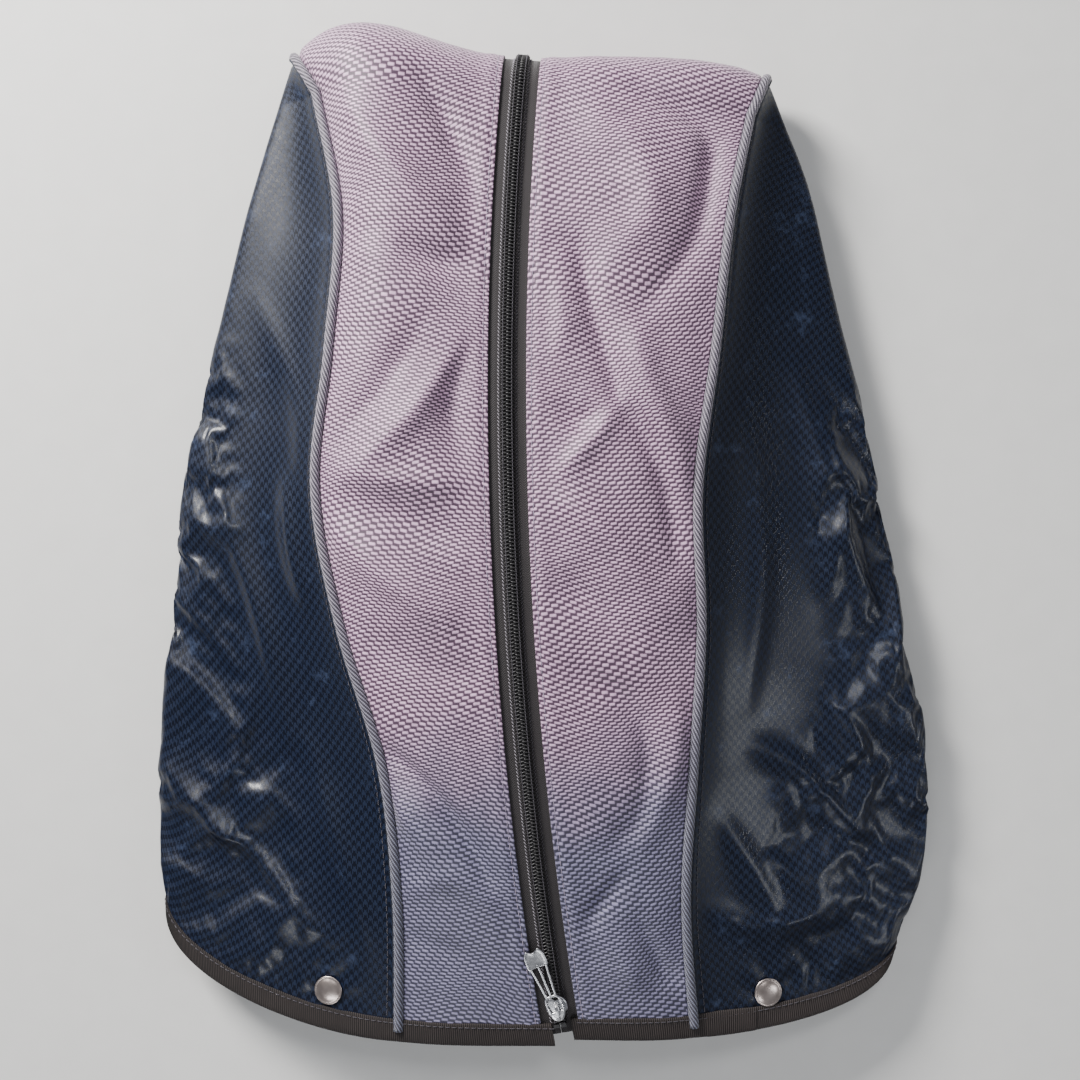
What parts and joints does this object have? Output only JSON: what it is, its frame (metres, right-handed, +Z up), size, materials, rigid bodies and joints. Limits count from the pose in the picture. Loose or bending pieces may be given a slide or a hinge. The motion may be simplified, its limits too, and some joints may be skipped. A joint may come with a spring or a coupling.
{
  "type": "golf bag hood",
  "caption": "Zip-up cloth hood for the top of a golf bag: woven band, coated sides, piped seams, bound hem, coil zip and press studs.",
  "frame": {"origin": "on the ground under the middle of the hood's box, with the hood lying on its back panel", "axes": "+Y from the open hem towards the crown, +X to the right seen from above with the crown away, +Z up out of the front panels"},
  "size_m": [0.4041, 0.5284, 0.0763],
  "materials": {
    "woven_band": "satin dobby weave",
    "coated_side": "glossy coated cloth with an embossed check",
    "piping_cover": "satin twill",
    "piping_cord": "matt braid",
    "ribbon": "ribbed grosgrain",
    "zip_tape": "herringbone tape",
    "zip_coil": "satin nylon",
    "nickel": "polished nickel plate",
    "snap_metal": "brushed nickel plate"
  },
  "bodies": {
    "root": {"front_left_panel": "woven_band", "front_right_panel": "woven_band", "back_panel": "woven_band", "left_side_panel": "coated_side", "right_side_panel": "coated_side", "left_piping": "piping_cover", "right_piping": "piping_cover", "left_piping_cord": "piping_cord", "right_piping_cord": "piping_cord", "left_seam_tape": "ribbon", "right_seam_tape": "ribbon", "crown_seam_tape": "ribbon", "hem_binding": "ribbon", "zip_tape_left": "zip_tape", "zip_tape_right": "zip_tape", "zip_coil_left": "zip_coil", "zip_coil_right": "zip_coil", "zip_start_stop": "nickel", "zip_end_stops": "zip_coil", "left_snap_cap": "snap_metal", "right_snap_cap": "snap_metal", "left_snap_socket": "snap_metal", "right_snap_socket": "snap_metal"},
    "slider": {"zip_slider": "nickel", "slider_bridge": "nickel"},
    "pull": {"zip_pull": "nickel"}
  },
  "joints": [
    {"name": "slider_travel", "type": "hinge", "parent": "root", "child": "slider", "pos_m": [0.544, 0.006, -0.83333], "axis": [-0.8497, -0.0394, -0.5258], "range_deg": [0, 24.6]},
    {"name": "pull_swing", "type": "hinge", "parent": "slider", "child": "pull", "pos_m": [0.00736, -0.24435, 0.05797], "axis": [0.9274, 0.3708, 0.0497], "range_deg": [0, 160]}
  ]
}
